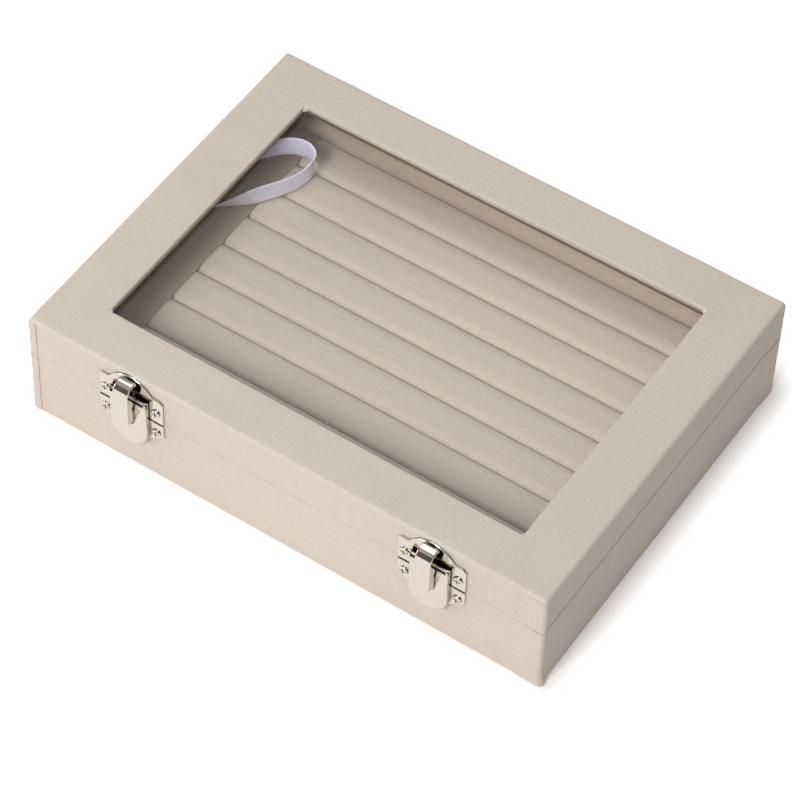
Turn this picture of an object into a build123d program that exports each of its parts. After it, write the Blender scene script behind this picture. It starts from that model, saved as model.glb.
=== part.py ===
"""Earring box: a cloth-covered case with a glass-topped lid, ring rolls inside, two spring latches in front,
two butt hinges behind and a ribbon that stops the lid.

Frame: millimetres, +X along the long side, -Y to the front, +Z up, origin at the centre of the underside.
"""

import math
import os

from build123d import *

os.makedirs("parts", exist_ok=True)

# Case outside
case_length = 200.0
case_depth = 148.0
case_height = 45.5
seam_height = 28.5
seam_gap = 0.2
corner_radius = 1.0
top_edge_radius = 1.2
rim_edge_radius = 0.35

# What the walls are made of
cloth = 0.5
rim_cloth = 0.4
board = 5.8
lining = 0.7
floor_board = 2.5
underside_cover = 0.5

# Lid top: window, glass and the frame that holds the glass
window_border_x = 20.0
window_border_y = 18.0
window_edge_radius = 0.4
top_board = 1.7
corner_gusset = 2.0
glass_thickness = 2.0
glass_overlap = 6.0
glass_slack = 0.3
glass_corner_radius = 1.0
retainer_lip = 1.5
retainer_setback = 1.0

# Inside the base: rolls, the board they stand on and a ledge at each end of them
roll_count = 9
roll_pitch = 14.88
roll_gap = 0.2
roll_half_length = 80.2
roll_top = 20.0
roll_crown = 6.5
roll_end_radius = 1.1
backing_board = 1.5
ledge_inner_x = 80.4
ledge_top = 19.3
ledge_edge_radius = 0.8
fit_gap = 0.1

# Ribbon that stops the lid, from the lid wall to the base wall, seen from above
ribbon_width = 8.0
ribbon_thickness = 0.5
ribbon_lid_height = 32.6
ribbon_base_height = 24.4
ribbon_route = [
    (-92.7, 22.0),
    (-90.3, 32.6),
    (-86.8, 39.0),
    (-83.0, 44.4),
    (-79.2, 48.6),
    (-75.4, 51.0),
    (-72.0, 50.4),
    (-70.9, 46.6),
    (-72.2, 41.0),
    (-75.2, 35.2),
    (-78.7, 29.6),
    (-82.2, 24.4),
    (-85.4, 19.2),
    (-88.4, 14.2),
    (-90.9, 9.2),
    (-92.7, -2.0),
]
ribbon_middle = (-83.1, 30.5)
ribbon_strand_gap = 10.1
ribbon_across_angle = 155.0

# Latches: positions are across, out from the front face, and up from the seam
latch_x = 58.4
plate_thickness = 0.8
plate_half_width = 12.8
plate_gap = 0.35
plate_edge_radius = 0.45
ear_top = 11.6
ear_corner = 1.3
dome_half_width = 8.5
dome_top = 16.4
foot_side = -6.4
foot_bottom = -11.0
foot_half_width = 6.0
shield_half_width = 7.4
shield_top = 7.3
shield_straight = -7.9
shield_bottom = -14.3
shield_out = 3.2
shield_wall = 0.7
shield_edge_radius = 1.4
shield_clearance = 1.1
slot_half_width = 3.15
slot_bottom = -4.4
pivot_out = 2.1
pivot_up = 8.2
pivot_pin_radius = 0.5
pivot_boss_radius = 0.95
pivot_running_gap = 0.05
lever_half_width = 3.0
lever_wall = 0.7
lever_front = 6.7
lever_front_bottom = -0.7
lever_front_top = 11.0
lever_foot = (3.5, -1.9)
lever_slope = [(6.3, 13.7), (5.0, 15.6)]
lever_crest = [(3.7, 16.2), (2.3, 16.4), (1.5, 16.1)]
lever_nose = (1.2, 15.4)
lever_nose_bottom = 14.7
lever_hook = [(1.9, 14.7), (2.4, 15.5), (3.3, 14.9)]
lever_back = [(3.3, 14.9), (3.6, 12.6), (2.3, 9.3)]
lever_back_below = [(2.3, 7.1), (3.9, 6.0), (4.1, 4.6), (2.5, 3.6)]
lever_eye_radius = 1.05
lever_hollow = [(6.0, 10.8), (5.7, 12.8), (4.7, 14.3)]
lever_edge_radius = 0.5
lever_round_out = 4.6
lever_round_up = 15.8
spring_half_width = 1.5
spring_thickness = 0.3
spring_foot = -9.0
spring_bend = -4.5
spring_belly = (2.18, -0.7)
spring_tip = (5.75, 3.3)
pin_end = 0.15

# Screws for the latches and hinges
screw_x = 10.1
screw_up = 5.0
screw_head_radius = 1.7
screw_head_height = 0.7
screw_head_edge = 0.5
screw_slot_width = 0.4
screw_slot_length = 2.4
screw_slot_depth = 0.3
screw_shank_radius = 0.6
screw_length = 5.0
screw_point = 0.4
screw_hole_gap = 0.02
screw_hole_spare = 0.1

# Hinges behind
hinge_x = 60.0
hinge_half_width = 10.0
hinge_knuckle_half = 3.2
hinge_knuckle_gap = 0.2
hinge_axis_out = 1.6
hinge_barrel_radius = 1.5
hinge_pin_radius = 0.6
hinge_running_gap = 0.05
hinge_leaf_start = 1.8
hinge_leaf_height = 9.8
hinge_screw_x = 6.4
hinge_screw_up = 5.8

# Sizes that follow from those above
half_x = case_length / 2
half_y = case_depth / 2
base_top = seam_height - seam_gap / 2
lid_bottom = seam_height + seam_gap / 2
wall_outer_x = half_x - cloth
wall_outer_y = half_y - cloth
wall_inner_x = wall_outer_x - board
wall_inner_y = wall_outer_y - board
room_x = wall_inner_x - lining
room_y = wall_inner_y - lining
floor_top = underside_cover + floor_board
board_top = floor_top + backing_board
window_x = case_length - 2 * window_border_x
window_y = case_depth - 2 * window_border_y
top_board_top = case_height - cloth
glass_top = top_board_top - top_board
glass_bottom = glass_top - glass_thickness
retainer_bottom = glass_bottom - retainer_lip
glass_x = window_x + 2 * glass_overlap
glass_y = window_y + 2 * glass_overlap
screw_hole_radius = screw_shank_radius + screw_hole_gap
spring_out = plate_thickness + spring_thickness / 2

front = Plane(origin=(0, -half_y, seam_height), x_dir=(1, 0, 0), z_dir=(0, -1, 0))
rear = Plane(origin=(0, half_y, seam_height), x_dir=(-1, 0, 0), z_dir=(0, 1, 0))


def front_side(x):
    """A plane across the front at x: its own x is out from the front face, its y is up from the seam."""
    return Plane(origin=(x, -half_y, seam_height), x_dir=(0, -1, 0), z_dir=(-1, 0, 0))


def rear_side(x):
    """A plane across the back at x: its own x is out from the rear face, its y is up from the seam."""
    return Plane(origin=(x, half_y, seam_height), x_dir=(0, 1, 0), z_dir=(1, 0, 0))


latch_places = {"left": -latch_x, "right": latch_x}
hinge_places = {"left": -hinge_x, "right": hinge_x}
lid_latch_points = [(x + side * screw_x, screw_up) for x in latch_places.values() for side in (-1, 1)]
base_latch_points = [(x, -up) for x, up in lid_latch_points]
lid_hinge_points = [
    (x + side * hinge_screw_x, hinge_screw_up) for x in hinge_places.values() for side in (-1, 1)
]
base_hinge_points = [(x, -up) for x, up in lid_hinge_points]


def drill(face, points):
    """Cut screw holes into the part in hand, from outside the face inwards."""
    with BuildSketch(face.offset(plate_thickness)) as holes:
        with Locations(*points):
            Circle(screw_hole_radius)
    extrude(holes.sketch, amount=-(plate_thickness + screw_length + screw_hole_spare), mode=Mode.SUBTRACT)


# Underside cover, floor and walls of the base
with BuildPart() as base_underside_cover:
    with BuildSketch():
        Rectangle(2 * wall_outer_x, 2 * wall_outer_y)
    extrude(amount=underside_cover)
base_underside_cover.part.label = "base_underside_cover"
export_step(base_underside_cover.part, "parts/base_underside_cover.step")

with BuildPart() as base_floor_board:
    with BuildSketch(Plane.XY.offset(underside_cover)):
        Rectangle(2 * wall_inner_x, 2 * wall_inner_y)
    extrude(amount=floor_board)
base_floor_board.part.label = "base_floor_board"
export_step(base_floor_board.part, "parts/base_floor_board.step")

wall_sizes = {
    "front": ((0, -(wall_inner_y + board / 2)), (2 * wall_outer_x, board)),
    "rear": ((0, wall_inner_y + board / 2), (2 * wall_outer_x, board)),
    "left": ((-(wall_inner_x + board / 2), 0), (board, 2 * wall_inner_y)),
    "right": ((wall_inner_x + board / 2, 0), (board, 2 * wall_inner_y)),
}
for side, (centre, size) in wall_sizes.items():
    with BuildPart() as base_wall:
        with BuildSketch(Plane.XY.offset(underside_cover)):
            with Locations(centre):
                Rectangle(*size)
        extrude(amount=base_top - rim_cloth - underside_cover)
        if side == "front":
            drill(front, base_latch_points)
        if side == "rear":
            drill(rear, base_hinge_points)
    base_wall.part.label = f"base_{side}_wall"
    export_step(base_wall.part, f"parts/base_{side}_wall.step")

    with BuildPart() as lid_wall:
        with BuildSketch(Plane.XY.offset(lid_bottom + rim_cloth)):
            with Locations(centre):
                Rectangle(*size)
        extrude(amount=glass_top - lid_bottom - rim_cloth)
        if side == "front":
            drill(front, lid_latch_points)
        if side == "rear":
            drill(rear, lid_hinge_points)
    lid_wall.part.label = f"lid_{side}_wall"
    export_step(lid_wall.part, f"parts/lid_{side}_wall.step")

# Cloth over the outside of the base, turned over its rim
with BuildPart() as base_cloth_wrap:
    with BuildSketch():
        RectangleRounded(case_length, case_depth, corner_radius)
        Rectangle(2 * wall_outer_x, 2 * wall_outer_y, mode=Mode.SUBTRACT)
    extrude(amount=base_top)
    with BuildSketch(Plane.XY.offset(base_top - rim_cloth)):
        Rectangle(2 * wall_outer_x, 2 * wall_outer_y)
        Rectangle(2 * wall_inner_x, 2 * wall_inner_y, mode=Mode.SUBTRACT)
    extrude(amount=rim_cloth)
    outer_rim = base_cloth_wrap.faces().sort_by(Axis.Z)[-1].outer_wire().edges()
    fillet(outer_rim, radius=rim_edge_radius)
    drill(front, base_latch_points)
    drill(rear, base_hinge_points)
base_cloth_wrap.part.label = "base_cloth_wrap"
export_step(base_cloth_wrap.part, "parts/base_cloth_wrap.step")

# Velvet lining on the inside of the base walls
with BuildPart() as base_wall_lining:
    with BuildSketch(Plane.XY.offset(floor_top)):
        Rectangle(2 * wall_inner_x, 2 * wall_inner_y)
        Rectangle(2 * room_x, 2 * room_y, mode=Mode.SUBTRACT)
    extrude(amount=base_top - floor_top)
base_wall_lining.part.label = "base_wall_lining"
export_step(base_wall_lining.part, "parts/base_wall_lining.step")

# Ledges at the two ends of the rolls
ledge_width = room_x - ledge_inner_x - fit_gap
for side, direction in (("left", -1), ("right", 1)):
    with BuildPart() as side_ledge:
        with BuildSketch(Plane.XY.offset(floor_top)):
            with Locations((direction * (ledge_inner_x + ledge_width / 2), 0)):
                Rectangle(ledge_width, 2 * (room_y - fit_gap))
        extrude(amount=ledge_top - floor_top)
        top_edges = side_ledge.faces().sort_by(Axis.Z)[-1].edges().filter_by(Axis.Y)
        fillet(top_edges.sort_by(lambda edge: abs(edge.center().X))[0], radius=ledge_edge_radius)
    side_ledge.part.label = f"side_ledge_{side}"
    export_step(side_ledge.part, f"parts/side_ledge_{side}.step")

# Board that the rolls stand on
with BuildPart() as insert_backing_board:
    with BuildSketch(Plane.XY.offset(floor_top)):
        Rectangle(2 * roll_half_length, 2 * (room_y - fit_gap))
    extrude(amount=backing_board)
insert_backing_board.part.label = "insert_backing_board"
export_step(insert_backing_board.part, "parts/insert_backing_board.step")

# Foam rolls, each a bar with a crowned top and softened ends
roll_half_width = (roll_pitch - roll_gap) / 2
roll_shoulder = roll_top - roll_crown
for number in range(1, roll_count + 1):
    roll_y = (number - (roll_count + 1) / 2) * roll_pitch
    roll_plane = Plane(origin=(-roll_half_length, roll_y, 0), x_dir=(0, 1, 0), z_dir=(1, 0, 0))
    with BuildPart() as roll:
        with BuildSketch(roll_plane):
            with BuildLine():
                Line((-roll_half_width, roll_shoulder), (-roll_half_width, board_top))
                Line((-roll_half_width, board_top), (roll_half_width, board_top))
                Line((roll_half_width, board_top), (roll_half_width, roll_shoulder))
                EllipticalCenterArc((0, roll_shoulder), roll_half_width, roll_crown, arc_size=180)
            make_face()
        extrude(amount=2 * roll_half_length)
        ends = roll.faces().sort_by(Axis.X)
        end_edges = ends[0].edges() + ends[-1].edges()
        fillet(end_edges.filter_by(lambda edge: edge.center().Z > board_top + 1), radius=roll_end_radius)
    roll.part.label = f"roll_{number}"
    export_step(roll.part, f"parts/roll_{number}.step")

# Top board of the lid, with the window and a small gusset left in each of its corners
with BuildPart() as lid_top_board:
    with BuildSketch(Plane.XY.offset(glass_top)):
        Rectangle(2 * wall_outer_x, 2 * wall_outer_y)
        with BuildSketch(mode=Mode.SUBTRACT) as board_window:
            Rectangle(window_x + 2 * cloth, window_y + 2 * cloth)
            chamfer(board_window.vertices(), corner_gusset)
    extrude(amount=top_board)
lid_top_board.part.label = "lid_top_board"
export_step(lid_top_board.part, "parts/lid_top_board.step")

# Cloth over the lid: sides, top, the cut edges of the window and the rim
with BuildPart() as lid_cloth_wrap:
    with BuildSketch(Plane.XY.offset(lid_bottom)):
        RectangleRounded(case_length, case_depth, corner_radius)
    extrude(amount=case_height - lid_bottom)
    fillet(lid_cloth_wrap.faces().sort_by(Axis.Z)[-1].edges(), radius=top_edge_radius)
    fillet(lid_cloth_wrap.faces().sort_by(Axis.Z)[0].edges(), radius=rim_edge_radius)
    with BuildSketch(Plane.XY.offset(lid_bottom + rim_cloth)):
        Rectangle(2 * wall_outer_x, 2 * wall_outer_y)
    extrude(amount=top_board_top - lid_bottom - rim_cloth, mode=Mode.SUBTRACT)
    with BuildSketch(Plane.XY.offset(lid_bottom)):
        Rectangle(2 * wall_inner_x, 2 * wall_inner_y)
    extrude(amount=rim_cloth, mode=Mode.SUBTRACT)
    with BuildSketch(Plane.XY.offset(glass_top)) as reveal:
        Rectangle(window_x + 2 * cloth, window_y + 2 * cloth)
        chamfer(reveal.vertices(), corner_gusset)
    extrude(amount=top_board)
    with BuildSketch(Plane.XY.offset(glass_top)):
        Rectangle(window_x, window_y)
    extrude(amount=case_height - glass_top, mode=Mode.SUBTRACT)
    fillet(
        lid_cloth_wrap.edges()
        .filter_by_position(Axis.Z, case_height, case_height)
        .filter_by_position(Axis.X, -window_x / 2, window_x / 2)
        .filter_by_position(Axis.Y, -window_y / 2, window_y / 2),
        radius=window_edge_radius,
    )
    drill(front, lid_latch_points)
    drill(rear, lid_hinge_points)
lid_cloth_wrap.part.label = "lid_cloth_wrap"
export_step(lid_cloth_wrap.part, "parts/lid_cloth_wrap.step")

# Glass and the rebated frame that holds it up against the top board
with BuildPart() as glass_pane:
    with BuildSketch(Plane.XY.offset(glass_bottom)):
        RectangleRounded(glass_x, glass_y, glass_corner_radius)
    extrude(amount=glass_thickness)
glass_pane.part.label = "glass_pane"
export_step(glass_pane.part, "parts/glass_pane.step")

with BuildPart() as glass_retainer_frame:
    with BuildSketch(Plane.XY.offset(retainer_bottom)):
        Rectangle(2 * wall_inner_x, 2 * wall_inner_y)
    extrude(amount=glass_top - retainer_bottom)
    with BuildSketch(Plane.XY.offset(glass_bottom)):
        Rectangle(glass_x + 2 * glass_slack, glass_y + 2 * glass_slack)
    extrude(amount=glass_thickness, mode=Mode.SUBTRACT)
    with BuildSketch(Plane.XY.offset(retainer_bottom)):
        Rectangle(window_x + 2 * retainer_setback, window_y + 2 * retainer_setback)
    extrude(amount=retainer_lip, mode=Mode.SUBTRACT)
glass_retainer_frame.part.label = "glass_retainer_frame"
export_step(glass_retainer_frame.part, "parts/glass_retainer_frame.step")

with BuildPart() as lid_wall_lining:
    with BuildSketch(Plane.XY.offset(lid_bottom)):
        Rectangle(2 * wall_inner_x, 2 * wall_inner_y)
        Rectangle(2 * room_x, 2 * room_y, mode=Mode.SUBTRACT)
    extrude(amount=retainer_bottom - lid_bottom)
lid_wall_lining.part.label = "lid_wall_lining"
export_step(lid_wall_lining.part, "parts/lid_wall_lining.step")

# Ribbon: a loop standing on edge, high at the lid end and low at the base end
runs = [math.dist(a, b) for a, b in zip(ribbon_route, ribbon_route[1:])]
headings = [math.atan2(b[1] - a[1], b[0] - a[0]) for a, b in zip(ribbon_route, ribbon_route[1:])]
turns = [abs(math.remainder(b - a, 2 * math.pi)) for a, b in zip(headings, headings[1:])]
ribbon_radii = [0.45 * min(a, b) / math.tan(turn / 2) for a, b, turn in zip(runs, runs[1:], turns)]
ribbon_rise = (ribbon_lid_height - ribbon_base_height) / 2
half_width = ribbon_width / 2
half_gap = ribbon_strand_gap / 2
slope_reach = 40.0
slope_plane = Plane(
    origin=(*ribbon_middle, (ribbon_lid_height + ribbon_base_height) / 2),
    x_dir=Vector(1, 0, 0).rotate(Axis.Z, ribbon_across_angle),
    z_dir=Vector(0, -1, 0).rotate(Axis.Z, ribbon_across_angle),
)
with BuildPart() as lid_stay_ribbon:
    with BuildSketch(Plane.XY.offset(ledge_top)):
        with BuildLine() as ribbon_line:
            FilletPolyline(*ribbon_route, radius=ribbon_radii)
        trace(line_width=ribbon_thickness)
    extrude(amount=retainer_bottom - ledge_top)
    with BuildSketch(slope_plane):
        Polygon(
            (-slope_reach, -ribbon_rise - half_width),
            (-half_gap, -ribbon_rise - half_width),
            (half_gap, ribbon_rise - half_width),
            (slope_reach, ribbon_rise - half_width),
            (slope_reach, ribbon_rise + half_width),
            (half_gap, ribbon_rise + half_width),
            (-half_gap, -ribbon_rise + half_width),
            (-slope_reach, -ribbon_rise + half_width),
            align=None,
        )
    extrude(amount=2 * slope_reach, both=True, mode=Mode.INTERSECT)
ribbon_length = sum(edge.length for edge in ribbon_line.edges())
print("ribbon radii", [round(radius, 1) for radius in ribbon_radii])
print("ribbon length", round(ribbon_length, 1))
lid_stay_ribbon.part.label = "lid_stay_ribbon"
export_step(lid_stay_ribbon.part, "parts/lid_stay_ribbon.step")


def shield_sketch(plane, shrink):
    """Half-round shield on the plane, drawn in from its outer edge by shrink."""
    half_width = shield_half_width - shrink
    with BuildSketch(plane) as shield:
        with BuildLine():
            Polyline(
                (-half_width, shield_straight),
                (-half_width, shield_top - shrink),
                (half_width, shield_top - shrink),
                (half_width, shield_straight),
            )
            EllipticalCenterArc(
                (0, shield_straight),
                half_width,
                shield_straight - shield_bottom - shrink,
                start_angle=180,
                arc_size=180,
            )
        make_face()
    return shield.sketch


for side, x in latch_places.items():
    latch_face = Plane(origin=(x, -half_y, seam_height), x_dir=(1, 0, 0), z_dir=(0, -1, 0))
    ear_points = [(-screw_x, screw_up), (screw_x, screw_up)]
    foot_points = [(-screw_x, -screw_up), (screw_x, -screw_up)]

    # Strike plate on the lid: two ears and a domed middle
    with BuildPart() as strike_plate:
        with BuildSketch(latch_face):
            with BuildLine():
                Polyline(
                    (-dome_half_width, ear_top),
                    (-plate_half_width + ear_corner, ear_top),
                    (-plate_half_width, ear_top - ear_corner),
                    (-plate_half_width, plate_gap),
                    (plate_half_width, plate_gap),
                    (plate_half_width, ear_top - ear_corner),
                    (plate_half_width - ear_corner, ear_top),
                    (dome_half_width, ear_top),
                )
                ThreePointArc((dome_half_width, ear_top), (0, dome_top), (-dome_half_width, ear_top))
            make_face()
        extrude(amount=plate_thickness)
        fillet(strike_plate.faces().sort_by(Axis.Y)[0].edges(), radius=plate_edge_radius)
        drill(latch_face, ear_points)
    strike_plate.part.label = f"latch_{side}_strike_plate"
    export_step(strike_plate.part, f"parts/latch_{side}_strike_plate.step")

    # Catch plate on the base: two ears and a raised hollow shield whose cheeks hold the pin
    with BuildPart() as catch_plate:
        with BuildSketch(latch_face):
            Polygon(
                (-plate_half_width, -plate_gap),
                (-plate_half_width, foot_side),
                (-foot_half_width, foot_bottom),
                (foot_half_width, foot_bottom),
                (plate_half_width, foot_side),
                (plate_half_width, -plate_gap),
                align=None,
            )
        extrude(amount=plate_thickness)
        fillet(catch_plate.faces().sort_by(Axis.Y)[0].edges(), radius=plate_edge_radius)
        extrude(shield_sketch(latch_face, 0), amount=shield_out)
        fillet(catch_plate.faces().sort_by(Axis.Y)[0].edges(), radius=shield_edge_radius)
        extrude(
            shield_sketch(latch_face.offset(plate_thickness), shield_wall),
            amount=shield_out - shield_wall - plate_thickness,
            mode=Mode.SUBTRACT,
        )
        with BuildSketch(front_side(x)):
            with Locations((pivot_out, pivot_up)):
                Circle(pivot_boss_radius)
            with Locations((pivot_out, shield_top - 2 * shield_edge_radius)):
                Rectangle(
                    2 * pivot_boss_radius,
                    pivot_up - shield_top + 2 * shield_edge_radius,
                    align=(Align.CENTER, Align.MIN),
                )
        extrude(amount=shield_half_width, both=True)
        with BuildSketch(front_side(x)):
            with Locations((0, -plate_gap)):
                Rectangle(shield_clearance, 2 * pivot_up, align=(Align.MIN, Align.MIN))
        extrude(amount=2 * shield_half_width, both=True, mode=Mode.SUBTRACT)
        with BuildSketch(latch_face.offset(plate_thickness)):
            with Locations((0, slot_bottom + slot_half_width)):
                Circle(slot_half_width)
                Rectangle(2 * slot_half_width, 2 * pivot_up, align=(Align.CENTER, Align.MIN))
            with Locations((0, shield_top)):
                Rectangle(
                    2 * (shield_half_width - shield_wall),
                    2 * pivot_boss_radius,
                    align=(Align.CENTER, Align.MIN),
                )
        extrude(amount=2 * shield_out, mode=Mode.SUBTRACT)
        with BuildSketch(front_side(x)):
            with Locations((pivot_out, pivot_up)):
                Circle(pivot_pin_radius)
        extrude(amount=shield_half_width, both=True, mode=Mode.SUBTRACT)
        drill(latch_face, foot_points)
    catch_plate.part.label = f"latch_{side}_catch_plate"
    export_step(catch_plate.part, f"parts/latch_{side}_catch_plate.step")

    with BuildPart() as lever_pin:
        with BuildSketch(front_side(x)):
            with Locations((pivot_out, pivot_up)):
                Circle(pivot_pin_radius)
        extrude(amount=shield_half_width + pin_end, both=True)
    lever_pin.part.label = f"latch_{side}_lever_pin"
    export_step(lever_pin.part, f"parts/latch_{side}_lever_pin.step")

    # Lever: a folded strip with its crest hooked back over the strike plate, and two side walls on the pin
    with BuildPart() as lever:
        with BuildSketch(front_side(x)):
            with BuildLine():
                Polyline(lever_foot, (lever_front, lever_front_bottom), (lever_front, lever_front_top))
                ThreePointArc((lever_front, lever_front_top), *lever_slope)
                ThreePointArc(lever_slope[-1], *lever_crest[:2])
                ThreePointArc(lever_crest[1], lever_crest[2], lever_nose)
                Polyline(lever_nose, (lever_nose[0], lever_nose_bottom), lever_hook[0])
                ThreePointArc(*lever_hook)
                Polyline(*lever_back)
                ThreePointArc(lever_back[-1], (pivot_out - lever_eye_radius, pivot_up), lever_back_below[0])
                Polyline(*lever_back_below, lever_foot)
            make_face()
        extrude(amount=lever_half_width, both=True)
        # The press rounds the strip's side edges over its front and crest, and its foot
        side_edges = lever.edges().filter_by(Axis.X, reverse=True)
        front_edges = side_edges.filter_by(lambda edge: edge.center().Y < -half_y - lever_round_out)
        crest_edges = side_edges.filter_by(lambda edge: edge.center().Z > seam_height + lever_round_up)
        foot_edge = lever.edges().filter_by(Axis.X).sort_by(Axis.Y)[0]
        rounded = {*front_edges, *crest_edges, foot_edge}
        fillet(rounded, radius=lever_edge_radius)
        with BuildSketch(front_side(x)):
            with BuildLine():
                Polyline((-shield_out, spring_bend), (lever_hollow[0][0], spring_bend), lever_hollow[0])
                ThreePointArc(*lever_hollow)
                Polyline(lever_hollow[-1], (-shield_out, lever_hollow[-1][1]), (-shield_out, spring_bend))
            make_face()
        extrude(amount=lever_half_width - lever_wall, both=True, mode=Mode.SUBTRACT)
        with BuildSketch(front_side(x)):
            with Locations((pivot_out, pivot_up)):
                Circle(pivot_pin_radius + pivot_running_gap)
        extrude(amount=2 * lever_half_width, both=True, mode=Mode.SUBTRACT)
    lever.part.label = f"latch_{side}_lever"
    export_step(lever.part, f"parts/latch_{side}_lever.step")

    # Leaf spring: its foot lies on the catch plate and its end bears on the inside of the lever
    with BuildPart() as lever_spring:
        with BuildSketch(front_side(x)):
            with BuildLine():
                Line((spring_out, spring_foot), (spring_out, spring_bend))
                ThreePointArc((spring_out, spring_bend), spring_belly, spring_tip)
            trace(line_width=spring_thickness)
        extrude(amount=spring_half_width, both=True)
    lever_spring.part.label = f"latch_{side}_lever_spring"
    export_step(lever_spring.part, f"parts/latch_{side}_lever_spring.step")


# One round-head screw with a cross recess, then its copies in the plates of the latches and hinges
with BuildPart() as screw:
    with BuildSketch():
        Circle(screw_head_radius)
    extrude(amount=screw_head_height)
    fillet(screw.faces().sort_by(Axis.Z)[-1].edges(), radius=screw_head_edge)
    with BuildSketch(Plane.XY.offset(screw_head_height)):
        Rectangle(screw_slot_length, screw_slot_width)
        Rectangle(screw_slot_width, screw_slot_length)
    extrude(amount=-screw_slot_depth, mode=Mode.SUBTRACT)
    with BuildSketch():
        Circle(screw_shank_radius)
    extrude(amount=-(screw_length + plate_thickness))
    chamfer(screw.faces().sort_by(Axis.Z)[0].edges(), length=screw_point)

for name, face, points in (
    ("lid_latch_screws", front, lid_latch_points),
    ("base_latch_screws", front, base_latch_points),
    ("lid_hinge_screws", rear, lid_hinge_points),
    ("base_hinge_screws", rear, base_hinge_points),
):
    with BuildPart(face.offset(plate_thickness)) as screws:
        with Locations(*points):
            add(screw.part)
    screws.part.label = name
    export_step(screws.part, f"parts/{name}.step")

# Butt hinges: the outer knuckles belong to the base leaf and hold the pin, the middle one turns on it
outer_knuckle = hinge_half_width - hinge_knuckle_half - hinge_knuckle_gap
outer_middle = hinge_half_width - outer_knuckle / 2
leaf_height = hinge_leaf_height - hinge_leaf_start
for side, x in hinge_places.items():
    hinge_face = Plane(origin=(x, half_y, seam_height), x_dir=(-1, 0, 0), z_dir=(0, 1, 0))
    leaf_points = [(-hinge_screw_x, hinge_screw_up), (hinge_screw_x, hinge_screw_up)]
    base_points = [(across, -up) for across, up in leaf_points]

    # Lid leaf with the middle knuckle
    with BuildPart() as lid_leaf:
        with BuildSketch(hinge_face):
            with Locations((0, hinge_leaf_start)):
                Rectangle(2 * hinge_half_width, leaf_height, align=(Align.CENTER, Align.MIN))
            Rectangle(2 * hinge_knuckle_half, 2 * hinge_leaf_start, align=(Align.CENTER, Align.MIN))
        extrude(amount=plate_thickness)
        with BuildSketch(rear_side(x)):
            with Locations((hinge_axis_out, 0)):
                Circle(hinge_barrel_radius)
        extrude(amount=hinge_knuckle_half, both=True)
        with BuildSketch(rear_side(x)):
            with Locations((hinge_axis_out, 0)):
                Circle(hinge_pin_radius + hinge_running_gap)
        extrude(amount=hinge_half_width, both=True, mode=Mode.SUBTRACT)
        drill(hinge_face, leaf_points)
    lid_leaf.part.label = f"hinge_{side}_lid_leaf"
    export_step(lid_leaf.part, f"parts/hinge_{side}_lid_leaf.step")

    # Base leaf with the two outer knuckles
    with BuildPart() as base_leaf:
        with BuildSketch(hinge_face):
            with Locations((0, -hinge_leaf_start)):
                Rectangle(2 * hinge_half_width, leaf_height, align=(Align.CENTER, Align.MAX))
            with Locations((-outer_middle, 0), (outer_middle, 0)):
                Rectangle(outer_knuckle, 2 * hinge_leaf_start, align=(Align.CENTER, Align.MAX))
        extrude(amount=plate_thickness)
        for middle in (-outer_middle, outer_middle):
            with BuildSketch(rear_side(x + middle)):
                with Locations((hinge_axis_out, 0)):
                    Circle(hinge_barrel_radius)
            extrude(amount=outer_knuckle / 2, both=True)
        with BuildSketch(rear_side(x)):
            with Locations((hinge_axis_out, 0)):
                Circle(hinge_pin_radius)
        extrude(amount=hinge_half_width, both=True, mode=Mode.SUBTRACT)
        drill(hinge_face, base_points)
    base_leaf.part.label = f"hinge_{side}_base_leaf"
    export_step(base_leaf.part, f"parts/hinge_{side}_base_leaf.step")

    with BuildPart() as hinge_pin:
        with BuildSketch(rear_side(x)):
            with Locations((hinge_axis_out, 0)):
                Circle(hinge_pin_radius)
        extrude(amount=hinge_half_width + pin_end, both=True)
    hinge_pin.part.label = f"hinge_{side}_pin"
    export_step(hinge_pin.part, f"parts/hinge_{side}_pin.step")
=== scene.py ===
"""Earring box: its cloth, velvet, ribbon, glass and nickel, dressed over the CAD frame.

Everything is in metres, in the frame of the CAD: +X to the right, -Y to the front, +Z up, with the origin at
the centre of the underside.
"""

import math

import bmesh
import bpy
from mathutils import Matrix, Vector, noise


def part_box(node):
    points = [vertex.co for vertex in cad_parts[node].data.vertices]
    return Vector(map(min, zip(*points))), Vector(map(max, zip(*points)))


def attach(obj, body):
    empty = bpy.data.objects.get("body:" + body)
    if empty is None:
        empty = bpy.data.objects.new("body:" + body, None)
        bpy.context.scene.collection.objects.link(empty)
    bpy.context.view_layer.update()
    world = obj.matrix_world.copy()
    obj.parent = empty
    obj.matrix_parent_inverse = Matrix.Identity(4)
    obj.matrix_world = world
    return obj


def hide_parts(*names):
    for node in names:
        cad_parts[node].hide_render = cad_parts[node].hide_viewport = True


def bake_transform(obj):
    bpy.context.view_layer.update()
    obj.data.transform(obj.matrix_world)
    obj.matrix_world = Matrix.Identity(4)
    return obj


bl_info = {
    "name": "Earring Box",
    "version": (1, 0, 0),
    "blender": (4, 5, 0),
    "location": "View3D > Sidebar > Earring Box",
    "description": "Dresses the frame of an earring box in cloth, velvet, ribbon, glass and nickel",
    "category": "Add Mesh",
}

MM = 0.001
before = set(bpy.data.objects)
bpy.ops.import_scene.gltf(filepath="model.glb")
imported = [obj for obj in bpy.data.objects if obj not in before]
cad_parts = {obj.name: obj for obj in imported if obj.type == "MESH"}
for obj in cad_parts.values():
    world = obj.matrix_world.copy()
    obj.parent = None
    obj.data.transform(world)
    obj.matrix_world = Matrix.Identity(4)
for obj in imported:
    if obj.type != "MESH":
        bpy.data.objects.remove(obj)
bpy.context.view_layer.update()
case_low, case_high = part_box("lid_cloth_wrap")
base_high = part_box("base_cloth_wrap")[1]
glass_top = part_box("glass_pane")[1].z


# Colours and nodes


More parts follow.
